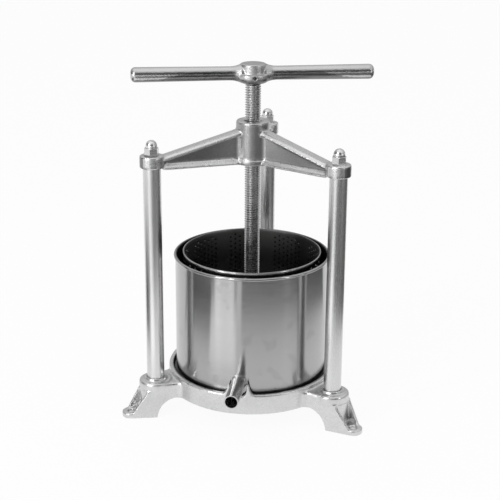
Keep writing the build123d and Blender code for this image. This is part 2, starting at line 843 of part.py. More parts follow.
# Basket: open cylinder with a folded rim and bands of drain holes
hole_span = basket_top - basket_hem_height - tank_floor - 2 * basket_hole_margin - basket_hole_d
row_pitch = hole_span / (basket_hole_rows - 0.5)
column_turn = degrees(basket_column_pitch / basket_r)
hole_places = []
for band in range(basket_band_count):
    for column_index in range(basket_band_columns):
        turn = basket_turn + 360 / basket_band_count * band
        turn += column_turn * (column_index - (basket_band_columns - 1) / 2)
        stagger = row_pitch / 2 * (column_index % 2)
        for row in range(basket_hole_rows):
            level = tank_floor + basket_hole_margin + basket_hole_d / 2 + row_pitch * row + stagger
            hole_places.append(upright_plane(turn + 90, level).location * Pos(0, 0, basket_r))
with BuildPart() as basket:
    with BuildSketch(Plane.XY.offset(tank_floor)):
        Circle(basket_r)
    extrude(amount=basket_top - tank_floor)
    with BuildSketch(Plane.XY.offset(basket_top - basket_hem_height)):
        Circle(basket_r + basket_hem)
    extrude(amount=basket_hem_height)
    with BuildSketch(Plane.XY.offset(tank_floor)):
        Circle(basket_bore_r)
    extrude(amount=basket_top - tank_floor, mode=Mode.SUBTRACT)
    with Locations(*hole_places):
        Cylinder(basket_hole_d / 2, 4 * basket_wall, mode=Mode.SUBTRACT)
finish(basket, "basket")

# Drain plate: a shallow perforated dish, turned upside down on the tank's floor inside the basket
with BuildPart() as drain_plate:
    with BuildSketch(Plane.XY.offset(tank_floor)):
        Circle(drain_r)
    extrude(amount=drain_height)
    with BuildSketch(Plane.XY.offset(tank_floor)):
        Circle(drain_r - drain_sheet)
    extrude(amount=drain_height - drain_sheet, mode=Mode.SUBTRACT)
    with BuildSketch(Plane.XY.offset(tank_floor)):
        Circle(drain_hole_d / 2)
        for ring in range(1, int((drain_r - drain_hole_pitch) / drain_hole_pitch) + 1):
            with PolarLocations(ring * drain_hole_pitch, 6 * ring):
                Circle(drain_hole_d / 2)
    extrude(amount=drain_height, mode=Mode.SUBTRACT)
    with BuildSketch(Plane.XY.offset(tank_floor)):
        with PolarLocations(drain_r, drain_notch_count):
            Rectangle(4 * drain_sheet, drain_notch_width)
    extrude(amount=(drain_height - drain_sheet) / 2, mode=Mode.SUBTRACT)
finish(drain_plate, "drain_plate")
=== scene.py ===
import math
import bmesh
import bpy
from mathutils import Matrix, Vector


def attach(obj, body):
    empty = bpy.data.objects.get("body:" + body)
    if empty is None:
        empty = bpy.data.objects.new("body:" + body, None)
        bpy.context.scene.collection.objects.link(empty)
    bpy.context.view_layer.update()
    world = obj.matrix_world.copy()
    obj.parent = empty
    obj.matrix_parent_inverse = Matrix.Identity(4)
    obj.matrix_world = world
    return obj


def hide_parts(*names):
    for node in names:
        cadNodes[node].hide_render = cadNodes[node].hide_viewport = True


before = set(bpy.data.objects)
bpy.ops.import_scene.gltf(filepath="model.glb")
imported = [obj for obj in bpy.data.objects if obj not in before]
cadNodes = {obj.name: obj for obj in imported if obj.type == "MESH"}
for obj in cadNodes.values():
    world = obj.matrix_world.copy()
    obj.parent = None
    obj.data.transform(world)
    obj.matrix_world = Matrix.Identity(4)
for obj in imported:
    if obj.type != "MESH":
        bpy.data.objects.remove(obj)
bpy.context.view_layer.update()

scene = bpy.context.scene
mm = 0.001
print("frame loaded,", len(cadNodes), "nodes")


# small helpers for node trees
def put(tree, kind, settings=None, inputs=None):
    node = tree.nodes.new(kind)
    for key, value in (settings or {}).items():
        setattr(node, key, value)
    for key, value in (inputs or {}).items():
        if isinstance(value, bpy.types.NodeSocket):
            tree.links.new(value, node.inputs[key])
        else:
            node.inputs[key].default_value = value
    return node


def calc(tree, operation, first, second=0.0, third=0.0):
    values = {0: first, 1: second, 2: third}
    return put(tree, "ShaderNodeMath", {"operation": operation}, values).outputs[0]


# first and second added up, each times its share
def weigh(tree, first, firstShare, second, secondShare):
    return calc(tree, "MULTIPLY_ADD", first, firstShare, calc(tree, "MULTIPLY", second, secondShare))


# a share is taken away where the mask is 1
def dim(tree, value, mask, share):
    return calc(tree, "MULTIPLY", value, calc(tree, "MULTIPLY_ADD", mask, -share, 1.0))


# a smooth step from one value to another
def fade(tree, value, fromLow, fromHigh, toLow=0.0, toHigh=1.0):
    settings = {"interpolation_type": "SMOOTHSTEP"}
    values = {"Value": value, "From Min": fromLow, "From Max": fromHigh, "To Min": toLow, "To Max": toHigh}
    return put(tree, "ShaderNodeMapRange", settings, values).outputs["Result"]


def blend(tree, share, first, second):
    values = {0: share, 2: first, 3: second}
    return put(tree, "ShaderNodeMix", {"data_type": "FLOAT"}, values).outputs[0]


noiseMiddle = 0.5  # noise runs about evenly to both sides of this
glossSpan = (0.3, 0.7)  # the part of the noise's range that turns into roughness


def noise(tree, coord, scale, detail, roughness=0.5):
    values = {"Vector": coord, "Scale": scale, "Detail": detail, "Roughness": roughness}
    return put(tree, "ShaderNodeTexNoise", None, values).outputs["Fac"]


# a base value that a noise moves up and down
def vary(tree, waver, amount, base):
    return calc(tree, "MULTIPLY_ADD", calc(tree, "SUBTRACT", waver, noiseMiddle), amount, base)


def splitPlace(tree, place):
    return put(tree, "ShaderNodeSeparateXYZ", None, {"Vector": place}).outputs


def joinPlace(tree, x, y, z=0.0):
    return put(tree, "ShaderNodeCombineXYZ", None, {"X": x, "Y": y, "Z": z}).outputs[0]


# a place from its distance to the upright axis, its angle about it and its height
def roundPlace(tree, reach, angle, level):
    across = calc(tree, "MULTIPLY", reach, calc(tree, "COSINE", angle))
    along = calc(tree, "MULTIPLY", reach, calc(tree, "SINE", angle))
    return joinPlace(tree, across, along, level)


# distance from the upright axis
def axisReach(tree, coord):
    spot = splitPlace(tree, coord)
    squares = [calc(tree, "POWER", spot[axis], 2.0) for axis in ("X", "Y")]
    return calc(tree, "SQRT", calc(tree, "ADD", *squares))


# how far a face looks up, from -1 to 1
def facingUp(tree):
    return splitPlace(tree, put(tree, "ShaderNodeTexCoord").outputs["Normal"])["Z"]


def grey(tree, value, tint=(1.0, 1.0, 1.0)):
    red, green, blue = (calc(tree, "MULTIPLY", value, share) for share in tint)
    return put(tree, "ShaderNodeCombineColor", None, {"Red": red, "Green": green, "Blue": blue}).outputs[0]


# an emptied node tree and the surface socket of its output
def emptyTree(owner, outKind):
    owner.use_nodes = True
    tree = owner.node_tree
    tree.nodes.clear()
    return tree, tree.nodes.new(outKind).inputs["Surface"]


# a shared surface effect, which turns a place and a few values into tone, gloss and height
def newEffect(name, values):
    group = bpy.data.node_groups.new(name, "ShaderNodeTree")
    group.interface.new_socket("Coord", in_out="INPUT", socket_type="NodeSocketVector")
    for label, value in values.items():
        socket = group.interface.new_socket(label, in_out="INPUT", socket_type="NodeSocketFloat")
        socket.default_value = value
    for label in ("Tone", "Gloss", "Height"):
        group.interface.new_socket(label, in_out="OUTPUT", socket_type="NodeSocketFloat")
    return group, group.nodes.new("NodeGroupInput").outputs, group.nodes.new("NodeGroupOutput").inputs


def giveOut(group, result, tone, gloss, height):
    group.links.new(tone, result["Tone"])
    group.links.new(gloss, result["Gloss"])
    group.links.new(height, result["Height"])


def layerNoises(group, given, mix):
    return [noise(group, given["Coord"], given[label], layer["detail"], layer["roughness"])
            for label, layer in mix.items()]


# skin of a tumbled casting: fine grain, slow waves and a few blotches
castSkinMix = {
    "Grain": {"detail": 3.0, "roughness": 0.6, "gloss": 0.5, "height": 0.12},
    "Wave": {"detail": 2.0, "roughness": 0.45, "gloss": 0.5, "height": 0.88},
    "Blotch": {"detail": 4.0, "roughness": 0.6, "tone": 0.3},
}


def makeCastSkin(mix):
    group, given, result = newEffect("castSkin", {
        "Grain": 1500.0, "Wave": 160.0, "Blotch": 24.0, "Contrast": 0.3})
    grain, wave, blotch = layerNoises(group, given, mix)
    tone = vary(group, grain, given["Contrast"], vary(group, blotch, mix["Blotch"]["tone"], 1.0))
    gloss = weigh(group, grain, mix["Grain"]["gloss"], wave, mix["Wave"]["gloss"])
    height = weigh(group, grain, mix["Grain"]["height"], wave, mix["Wave"]["height"])
    giveOut(group, result, tone, gloss, height)
    return group


# fine drawn lines of a polished or turned surface, on coordinates already stretched along the lines
drawnLinesMix = {
    "Lines": {"detail": 4.0, "roughness": 0.65, "gloss": 0.45, "tone": 0.14},
    "Smears": {"detail": 3.0, "roughness": 0.55, "gloss": 0.55, "tone": 0.22},
}


def makeDrawnLines(mix):
    group, given, result = newEffect("drawnLines", {"Lines": 900.0, "Smears": 40.0})
    lines, smears = layerNoises(group, given, mix)
    tone = vary(group, lines, mix["Lines"]["tone"], vary(group, smears, mix["Smears"]["tone"], 1.0))
    gloss = weigh(group, lines, mix["Lines"]["gloss"], smears, mix["Smears"]["gloss"])
    giveOut(group, result, tone, gloss, lines)
    return group


castSkin = makeCastSkin(castSkinMix)
drawnLines = makeDrawnLines(drawnLinesMix)
print("shader groups made")


def newMetal(name):
    material = bpy.data.materials.new(name)
    tree, surface = emptyTree(material, "ShaderNodeOutputMaterial")
    shader = put(tree, "ShaderNodeBsdfPrincipled", None, {"Metallic": 1.0})
    tree.links.new(shader.outputs["BSDF"], surface)
    coord = put(tree, "ShaderNodeTexCoord").outputs["Object"]
    return material, tree, shader, coord


def dressMetal(tree, shader, look, tone, rough, height):
    normal = put(tree, "ShaderNodeBump", None, {
        "Strength": look["bump"], "Distance": look["depth"], "Height": height}).outputs["Normal"]
    tree.links.new(grey(tree, tone, look["tint"]), shader.inputs["Base Color"])
    tree.links.new(rough, shader.inputs["Roughness"])
    tree.links.new(normal, shader.inputs["Normal"])


# the webs of the crosspiece's arms and the wall of its hub: dark sand skin with painted shade on their
# upright faces, and a painted reflection that makes them lighter near the hub
def webSkinAndShade(tree, coord, skinTone, tone, rough, look):
    spot = splitPlace(tree, coord)
    webs, reach = 0.0, 0.0
    for angle in look["armAngles"]:
        turn = math.radians(angle)
        across = weigh(tree, spot["X"], math.sin(turn), spot["Y"], -math.cos(turn))
        along = weigh(tree, spot["X"], math.cos(turn), spot["Y"], math.sin(turn))
        near = fade(tree, calc(tree, "ABSOLUTE", across), look["edge"], look["full"])
        beyondHub = fade(tree, along, look["start"], look["start"] + look["fade"])
        webs = calc(tree, "MAXIMUM", webs, calc(tree, "MULTIPLY", near, beyondHub))
        reach = calc(tree, "MAXIMUM", reach, along)
    hub = fade(tree, axisReach(tree, coord), look["hubOut"], look["hubOut"] - look["fade"])
    upright = fade(tree, calc(tree, "ABSOLUTE", facingUp(tree)), look["slopeEdge"], look["slopeFull"])
    share = calc(tree, "MULTIPLY", calc(tree, "MAXIMUM", webs, hub), upright)
    # painted shade and reflection: lighter near the hub, darker out along the arm
    shadeRamp = fade(tree, reach, look["start"], look["darkFrom"], look["rootTone"], look["tone"])
    dark = calc(tree, "MULTIPLY", skinTone, shadeRamp)
    return blend(tree, share, tone, dark), blend(tree, share, rough, look["rough"])


# painted shade: the groove that the tank stands in is painted dark
def paintSeatShade(tree, coord, skinTone, tone, look):
    reach, level = axisReach(tree, coord), splitPlace(tree, coord)["Z"]
    groove = calc(tree, "MULTIPLY", fade(tree, reach, look["out"], look["out"] - look["fade"]),
                  fade(tree, reach, look["in"], look["in"] + look["fade"]))
    groove = calc(tree, "MULTIPLY", groove, fade(tree, level, look["low"], look["low"] + look["fade"]))
    return blend(tree, groove, tone, calc(tree, "MULTIPLY", skinTone, look["tone"]))


def castFinish(name, look):
    material, tree, shader, coord = newMetal(name)
    skin = put(tree, "ShaderNodeGroup", {"node_tree": castSkin}, {
        "Coord": coord, "Grain": look["grain"], "Wave": look["wave"], "Blotch": look["blotch"],
        "Contrast": look["contrast"]}).outputs
    tone = calc(tree, "MULTIPLY", skin["Tone"], look["tone"])
    rough = fade(tree, skin["Gloss"], *glossSpan, look["roughLow"], look["roughHigh"])
    if "webs" in look:
        tone, rough = webSkinAndShade(tree, coord, skin["Tone"], tone, rough, look["webs"])
    if "seat" in look:
        tone = paintSeatShade(tree, coord, skin["Tone"], tone, look["seat"])
    dressMetal(tree, shader, look, tone, rough, skin["Height"])
    return material


# coordinates for lines that run round the upright axis
def ringCoord(tree, coord, reach):
    spot = splitPlace(tree, coord)
    return roundPlace(tree, reach, calc(tree, "ARCTAN2", spot["Y"], spot["X"]), spot["Z"])


# a few faint finger marks
def fingerMarks(tree, coord, tone, look):
    marks = fade(tree, noise(tree, coord, look["scale"], look["detail"]), look["edge"], look["full"])
    return dim(tree, tone, marks, look["share"])


# the handle's bar is polished in waves, its hub is plain and duller
def polishWaves(tree, coord, rough, height, look):
    hub = fade(tree, axisReach(tree, coord), look["hubOut"], look["hubOut"] - look["hubFade"])
    share = calc(tree, "MULTIPLY_ADD", hub, -look["share"], look["share"])
    height = calc(tree, "MULTIPLY_ADD", noise(tree, coord, look["scale"], look["detail"]), share, height)
    return blend(tree, hub, rough, look["hubRough"]), height


# painted shade: darker where the piece is seen from within, and most of all deep down
def paintInsideShade(tree, coord, lineTone, tone, rough, look):
    within = fade(tree, axisReach(tree, coord), look["reach"] + look["fade"], look["reach"] - look["fade"])
    level = splitPlace(tree, coord)["Z"]
    shadeRamp = fade(tree, level, look["top"], look["deep"], look["tone"], look["deepTone"])
    dark = calc(tree, "MULTIPLY", lineTone, shadeRamp)
    return blend(tree, within, tone, dark), blend(tree, within, rough, look["rough"])


# painted shade: the bar's underside is painted dark, with a ragged edge to the polished rest
def paintUnderShade(tree, coord, tone, look):
    reach = axisReach(tree, coord)
    hubIn = look["hubOut"] - look["hubFade"]
    hubEdge = fade(tree, reach, hubIn, look["hubOut"], look["hubEdge"], look["edge"])
    barEdge = fade(tree, reach, look["endFrom"], look["endFull"], look["edge"], look["endEdge"])
    edge = calc(tree, "MINIMUM", barEdge, hubEdge)
    level = vary(tree, noise(tree, coord, look["scale"], look["detail"]), look["ragged"], facingUp(tree))
    above = calc(tree, "SUBTRACT", level, edge)
    return calc(tree, "MULTIPLY", tone, fade(tree, above, look["fade"], -look["fade"], 1.0, look["share"]))


# brushing round the upright axis draws the highlights out
def brushRound(tree, shader, look):
    shader.inputs["Anisotropic"].default_value = look["share"]
    shader.inputs["Anisotropic Rotation"].default_value = look["turn"]
    tangent = put(tree, "ShaderNodeTangent", {"direction_type": "RADIAL", "axis": "Z"}).outputs[0]
    tree.links.new(tangent, shader.inputs["Tangent"])


# a polished, drawn or turned finish; its lines run in rings, or along the axis that stretch makes short
def drawnFinish(name, look):
    material, tree, shader, coord = newMetal(name)
    if "ringLines" in look:
        stretched = ringCoord(tree, coord, look["ringLines"])
    else:
        values = {"Vector": coord, "Scale": look["stretch"]}
        stretched = put(tree, "ShaderNodeMapping", None, values).outputs[0]
    lines = put(tree, "ShaderNodeGroup", {"node_tree": drawnLines}, {
        "Coord": stretched, "Lines": look["lines"], "Smears": look["smears"]}).outputs
    tone = calc(tree, "MULTIPLY", lines["Tone"], look["tone"])
    rough = fade(tree, lines["Gloss"], *glossSpan, look["roughLow"], look["roughHigh"])
    height = lines["Height"]
    if "marks" in look:
        tone = fingerMarks(tree, coord, tone, look["marks"])
    if "waves" in look:
        rough, height = polishWaves(tree, coord, rough, height, look["waves"])
    if "inside" in look:
        tone, rough = paintInsideShade(tree, coord, lines["Tone"], tone, rough, look["inside"])
    if "under" in look:
        tone = paintUnderShade(tree, coord, tone, look["under"])
    if "brushed" in look:
        brushRound(tree, shader, look["brushed"])
    dressMetal(tree, shader, look, tone, rough, height)
    return material


castAlloyLook = {
    "tone": 0.66, "tint": (1.0, 1.0, 1.005), "grain": 520.0, "wave": 170.0, "blotch": 22.0, "contrast": 0.35,
    "roughLow": 0.24, "roughHigh": 0.42, "bump": 0.45, "depth": 0.35 * mm,
}
# the groove's dark tone is painted shade
baseLook = dict(castAlloyLook, seat={
    "tone": 0.1, "in": 72.0 * mm, "out": 83.6 * mm, "low": 34.0 * mm, "fade": 0.4 * mm})
# the webs' and hub's dark tones are sand skin with painted shade, and a painted reflection near the hub
crossLook = dict(castAlloyLook, grain=620.0, contrast=0.6, roughHigh=0.4, webs={
    "tone": 0.24, "rootTone": 0.38, "rough": 0.32, "armAngles": (90.0, 210.0, 330.0),
    "edge": 6.2 * mm, "full": 5.0 * mm, "start": 18.5 * mm, "darkFrom": 60.0 * mm, "hubOut": 23.5 * mm,
    "fade": 2.0 * mm, "slopeEdge": 0.55, "slopeFull": 0.2})
plateLook = dict(castAlloyLook, tone=0.6)
handleHub = {"hubOut": 23.0 * mm, "hubFade": 4.0 * mm}
handleLook = {
    "tone": 0.54, "tint": (1.0, 1.0, 1.005), "stretch": (0.25, 1.0, 1.0), "lines": 700.0, "smears": 60.0,
    "roughLow": 0.14, "roughHigh": 0.25, "bump": 0.3, "depth": 0.5 * mm,
    "waves": dict(handleHub, scale=40.0, detail=1.0, share=6.0, hubRough=0.36),
    # the underside's darkening is painted shade
    "under": dict(
        handleHub, share=0.4, edge=0.3, hubEdge=-0.2, endEdge=-0.6, endFrom=62.0 * mm, endFull=100.0 * mm,
        scale=240.0, detail=2.0, ragged=0.3, fade=0.08),
}
columnLook = {
    "tone": 0.69, "tint": (1.0, 1.0, 1.003), "stretch": (1.0, 1.0, 0.03), "lines": 900.0, "smears": 90.0,
    "roughLow": 0.24, "roughHigh": 0.34, "bump": 0.12, "depth": 0.1 * mm,
}
tankLook = {
    "tone": 0.42, "tint": (1.0, 1.0, 1.0), "ringLines": 0.006, "lines": 1100.0, "smears": 30.0,
    "roughLow": 0.17, "roughHigh": 0.22, "bump": 0.02, "depth": 0.03 * mm,
    "brushed": {"share": 0.85, "turn": 0.25},
    "marks": {"scale": 60.0, "detail": 1.0, "edge": 0.63, "full": 0.7, "share": 0.07},
    # the inside's dark tones are painted shade
    "inside": {"tone": 0.04, "deepTone": 0.03, "top": 165.0 * mm, "deep": 130.0 * mm, "rough": 0.3,
               "reach": 79.4 * mm, "fade": 0.15 * mm},
}
spoutLook = {
    "tone": 0.6, "tint": (1.0, 1.0, 1.0), "stretch": (1.0, 0.05, 1.0), "lines": 900.0, "smears": 80.0,
    "roughLow": 0.2, "roughHigh": 0.32, "bump": 0.08, "depth": 0.1 * mm,
}
basketLook = {
    "tone": 0.42, "tint": (1.0, 1.0, 1.0), "ringLines": 0.006, "lines": 900.0, "smears": 40.0,
    "roughLow": 0.2, "roughHigh": 0.34, "bump": 0.08, "depth": 0.08 * mm,
    # the inside's dark tones are painted shade
    "inside": {"tone": 0.2, "deepTone": 0.035, "top": 168.0 * mm, "deep": 132.0 * mm, "rough": 0.42,
               "reach": 71.35 * mm, "fade": 0.15 * mm},
}
screwLook = {
    "tone": 0.58, "tint": (1.0, 1.0, 1.0), "ringLines": 0.002, "lines": 1400.0, "smears": 120.0,
    "roughLow": 0.18, "roughHigh": 0.34, "bump": 0.1, "depth": 0.08 * mm,
}
fastenerLook = {
    "tone": 0.7, "tint": (1.0, 1.0, 1.0), "ringLines": 0.002, "lines": 1200.0, "smears": 150.0,
    "roughLow": 0.2, "roughHigh": 0.34, "bump": 0.08, "depth": 0.06 * mm,
}
brassLook = dict(fastenerLook, tone=0.85, tint=(0.85, 0.66, 0.33))

castAlloy = castFinish("castAlloy", baseLook)
crossAlloy = castFinish("crossAlloy", crossLook)
plateAlloy = castFinish("plateAlloy", plateLook)
handleAlloy = drawnFinish("handleAlloy", handleLook)
columnSteel = drawnFinish("columnSteel", columnLook)
tankSteel = drawnFinish("tankSteel", tankLook)
spoutSteel = drawnFinish("spoutSteel", spoutLook)
basketSteel = drawnFinish("basketSteel", basketLook)
screwSteel = drawnFinish("screwSteel", screwLook)
fastenerSteel = drawnFinish("fastenerSteel", fastenerLook)
bearingBrass = drawnFinish("bearingBrass", brassLook)
print("materials made")


def newObject(name, mesh):
    piece = bpy.data.objects.new(name, mesh)
    scene.collection.objects.link(piece)
    return piece


def shapeObject(name, shape):
    mesh = bpy.data.meshes.new(name)
    shape.to_mesh(mesh)
    shape.free()
    return newObject(name, mesh)


# turns what the modifiers give into a plain mesh of the same object
def applyAll(piece):
    graph = bpy.context.evaluated_depsgraph_get()
    graph.update()
    made = bpy.data.meshes.new_from_object(piece.evaluated_get(graph))
    old = piece.data
    piece.modifiers.clear()
    piece.data = made
    bpy.data.meshes.remove(old)


def finishPiece(piece, body, node):
    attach(piece, body)
    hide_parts(node)
    print(piece.name, len(piece.data.polygons), "faces")


# castings: the solid's own shape with the soft edges and filled corners of a cast and tumbled piece
castings = {
    "base_casting": {
        "piece": "baseBody", "body": "frame", "slot": "cast_alloy", "finish": castAlloy,
        "voxel": 0.8 * mm, "rounds": 6, "keep": 0.4},
    "crosspiece": {
        "piece": "crossBody", "body": "frame", "slot": "cast_alloy", "finish": crossAlloy,
        "voxel": 0.85 * mm, "rounds": 14, "keep": 0.7},
    "handle": {
        "piece": "handleBody", "body": "screw", "slot": "handle_alloy", "finish": handleAlloy,
        "voxel": 0.6 * mm, "rounds": 10, "keep": 0.8},
    "press_plate": {
        "piece": "plateBody", "body": "plate", "slot": "cast_alloy", "finish": plateAlloy,
        "voxel": 0.9 * mm, "rounds": 5, "keep": 0.6},
}
castingWork = {"weld": 0.002 * mm, "smoothing": 0.5}


def softCasting(node, look):
    shape = bmesh.new()
    shape.from_mesh(cadNodes[node].data)
    bmesh.ops.remove_doubles(shape, verts=shape.verts, dist=castingWork["weld"])
    piece = shapeObject(look["piece"], shape)
    remesh = piece.modifiers.new("remesh", "REMESH")
    remesh.mode = "VOXEL"
    remesh.voxel_size = look["voxel"]
    remesh.use_smooth_shade = True
    smooth = piece.modifiers.new("smooth", "SMOOTH")
    smooth.factor = castingWork["smoothing"]
    smooth.iterations = look["rounds"]
    thin = piece.modifiers.new("thin", "DECIMATE")
    thin.ratio = look["keep"]
    applyAll(piece)
    piece.data.shade_smooth()
    piece.data.materials.clear()
    piece.data.materials.append(look["finish"])
    finishPiece(piece, look["body"], node)


for node, look in castings.items():
    softCasting(node, look)
print("castings made")


latheWeld = 0.001 * mm  # joins the points that lie on the axis


# round shapes: a closed profile of (radius, height) points, set up at each of the turns about the axis;
# the faces after the gap's point are left out, where another shape is welded on
def lathe(name, profile, turns, gap):
    shape = bmesh.new()
    rings = [[shape.verts.new((r * math.cos(turn), r * math.sin(turn), z)) for r, z in profile]
             for turn in turns]
    gapFaces = []
    for here, there in zip(rings, rings[1:] + rings[:1]):
        for index in range(len(profile)):
            after = (index + 1) % len(profile)
            face = shape.faces.new((here[index], there[index], there[after], here[after]))
            if index == gap:
                gapFaces.append(face)
    bmesh.ops.remove_doubles(shape, verts=shape.verts, dist=latheWeld)
    bmesh.ops.recalc_face_normals(shape, faces=shape.faces)
    bmesh.ops.delete(shape, geom=gapFaces, context="FACES_ONLY")
    return shapeObject(name, shape)


def newGeoTree(name, ins):
    tree = bpy.data.node_groups.new(name, "GeometryNodeTree")
    tree.interface.new_socket("Geometry", in_out="INPUT", socket_type="NodeSocketGeometry")
    keys = {}
    for kind, labels in ins.items():
        for label in labels:
            keys[label] = tree.interface.new_socket(label, in_out="INPUT", socket_type=kind).identifier
    tree.interface.new_socket("Geometry", in_out="OUTPUT", socket_type="NodeSocketGeometry")
    return tree, tree.nodes.new("NodeGroupInput").outputs, tree.nodes.new("NodeGroupOutput").inputs[0], keys


def objectShape(tree, given):
    return put(tree, "GeometryNodeObjectInfo", None, {"Object": given}).outputs["Geometry"]


def joinShapes(tree, parts):
    whole = put(tree, "GeometryNodeJoinGeometry")
    for part in parts:
        tree.links.new(part, whole.inputs[0])
    return whole.outputs[0]


# the end of each tree: the parts are welded, made real and given their finish
def closeTree(tree, parts, weld, finish, result):
    values = {"Geometry": joinShapes(tree, parts), "Distance": weld}
    welded = put(tree, "GeometryNodeMergeByDistance", None, values).outputs[0]
    real = put(tree, "GeometryNodeRealizeInstances", None, {0: welded}).outputs[0]
    dressed = put(tree, "GeometryNodeSetMaterial", None, {"Geometry": real, "Material": finish}).outputs[0]
    tree.links.new(dressed, result)


def runGeoTree(name, tree, keys, values, sharpAngle):
    piece = newObject(name, bpy.data.meshes.new(name))
    nodes = piece.modifiers.new("nodes", "NODES")
    nodes.node_group = tree
    for label, value in values.items():
        nodes[keys[label]] = value
    applyAll(piece)
    piece.data.shade_smooth()
    piece.data.set_sharp_from_angle(angle=math.radians(sharpAngle))
    return piece


def dropObjects(*helpers):
    for helper in helpers:
        mesh = helper.data
        bpy.data.objects.remove(helper)
        bpy.data.meshes.remove(mesh)


# basket: flat tiles with one hole each are laid out in bands, then bent round into the wall
basketLay = {
    "radius": 71.5 * mm, "wall": 1.0 * mm, "low": 46.0 * mm, "high": 168.0 * mm, "topMargin": 3.8 * mm,
    "hem": 0.7 * mm, "hemHeight": 3.5 * mm, "roll": 0.35 * mm,
    "rimCorner": ((0.0, 2.0), (0.5, 0.7), (1.6, 0.0)),  # in rolls, inwards and down from the rim's corner
    "bands": 9, "columns": 7, "rows": 21, "columnPitch": 5.2 * mm, "rowPitch": 5.2 * mm, "holeD": 2.5 * mm,
    "firstTurn": math.radians(65.1), "stripSteps": 6, "weld": 0.004 * mm, "sharpAngle": 35.0,
}


def holeTile(lay):
    halfU, halfV, halfW = lay["columnPitch"] / 2, lay["rowPitch"] / 2, lay["wall"] / 2
    holeR = lay["holeD"] / 2
    edge = ((1, 0), (1, 1), (0, 1), (-1, 1), (-1, 0), (-1, -1), (0, -1), (1, -1))
    quarters, rimSteps = 4, 12
    rimTurns = [2 * math.pi * step / rimSteps for step in range(rimSteps)]
    rimPlaces = [(holeR * math.cos(turn), holeR * math.sin(turn)) for turn in rimTurns]
    shape = bmesh.new()
    rims = []
    for side in (1, -1):
        outer = [shape.verts.new((halfU * u, halfV * v, halfW * side)) for u, v in edge]
        rim = [shape.verts.new((u, v, halfW * side)) for u, v in rimPlaces]
        for quarter in range(quarters):
            edgeStart, rimStart = len(edge) // quarters * quarter, rimSteps // quarters * quarter
            m0, corner, m1 = (outer[(edgeStart + step) % len(edge)] for step in range(3))
            r0, r1, r2, r3 = (rim[(rimStart + step) % rimSteps] for step in range(4))
            for face in ((m0, corner, r1, r0), (corner, r2, r1), (corner, m1, r3, r2)):
                shape.faces.new(face if side == 1 else tuple(reversed(face)))
        rims.append(rim)
    for step in range(rimSteps):
        after = (step + 1) % rimSteps
        shape.faces.new((rims[0][step], rims[0][after], rims[1][after], rims[1][step]))
    return shapeObject("holeTile", shape)


def plainTile(name, width, lowV, highV, wall, steps, rowCount):
    across = [width * (step / steps - 0.5) for step in range(steps + 1)]
    levels = [lowV + (highV - lowV) * row / rowCount for row in range(rowCount + 1)]
    shape = bmesh.new()
    for side in (1, -1):
        rows = [[shape.verts.new((u, v, wall / 2 * side)) for u in across] for v in levels]
        for low, high in zip(rows, rows[1:]):
            for step in range(steps):
                face = (low[step], low[step + 1], high[step + 1], high[step])
                shape.faces.new(face if side == 1 else tuple(reversed(face)))
    return shapeObject(name, shape)


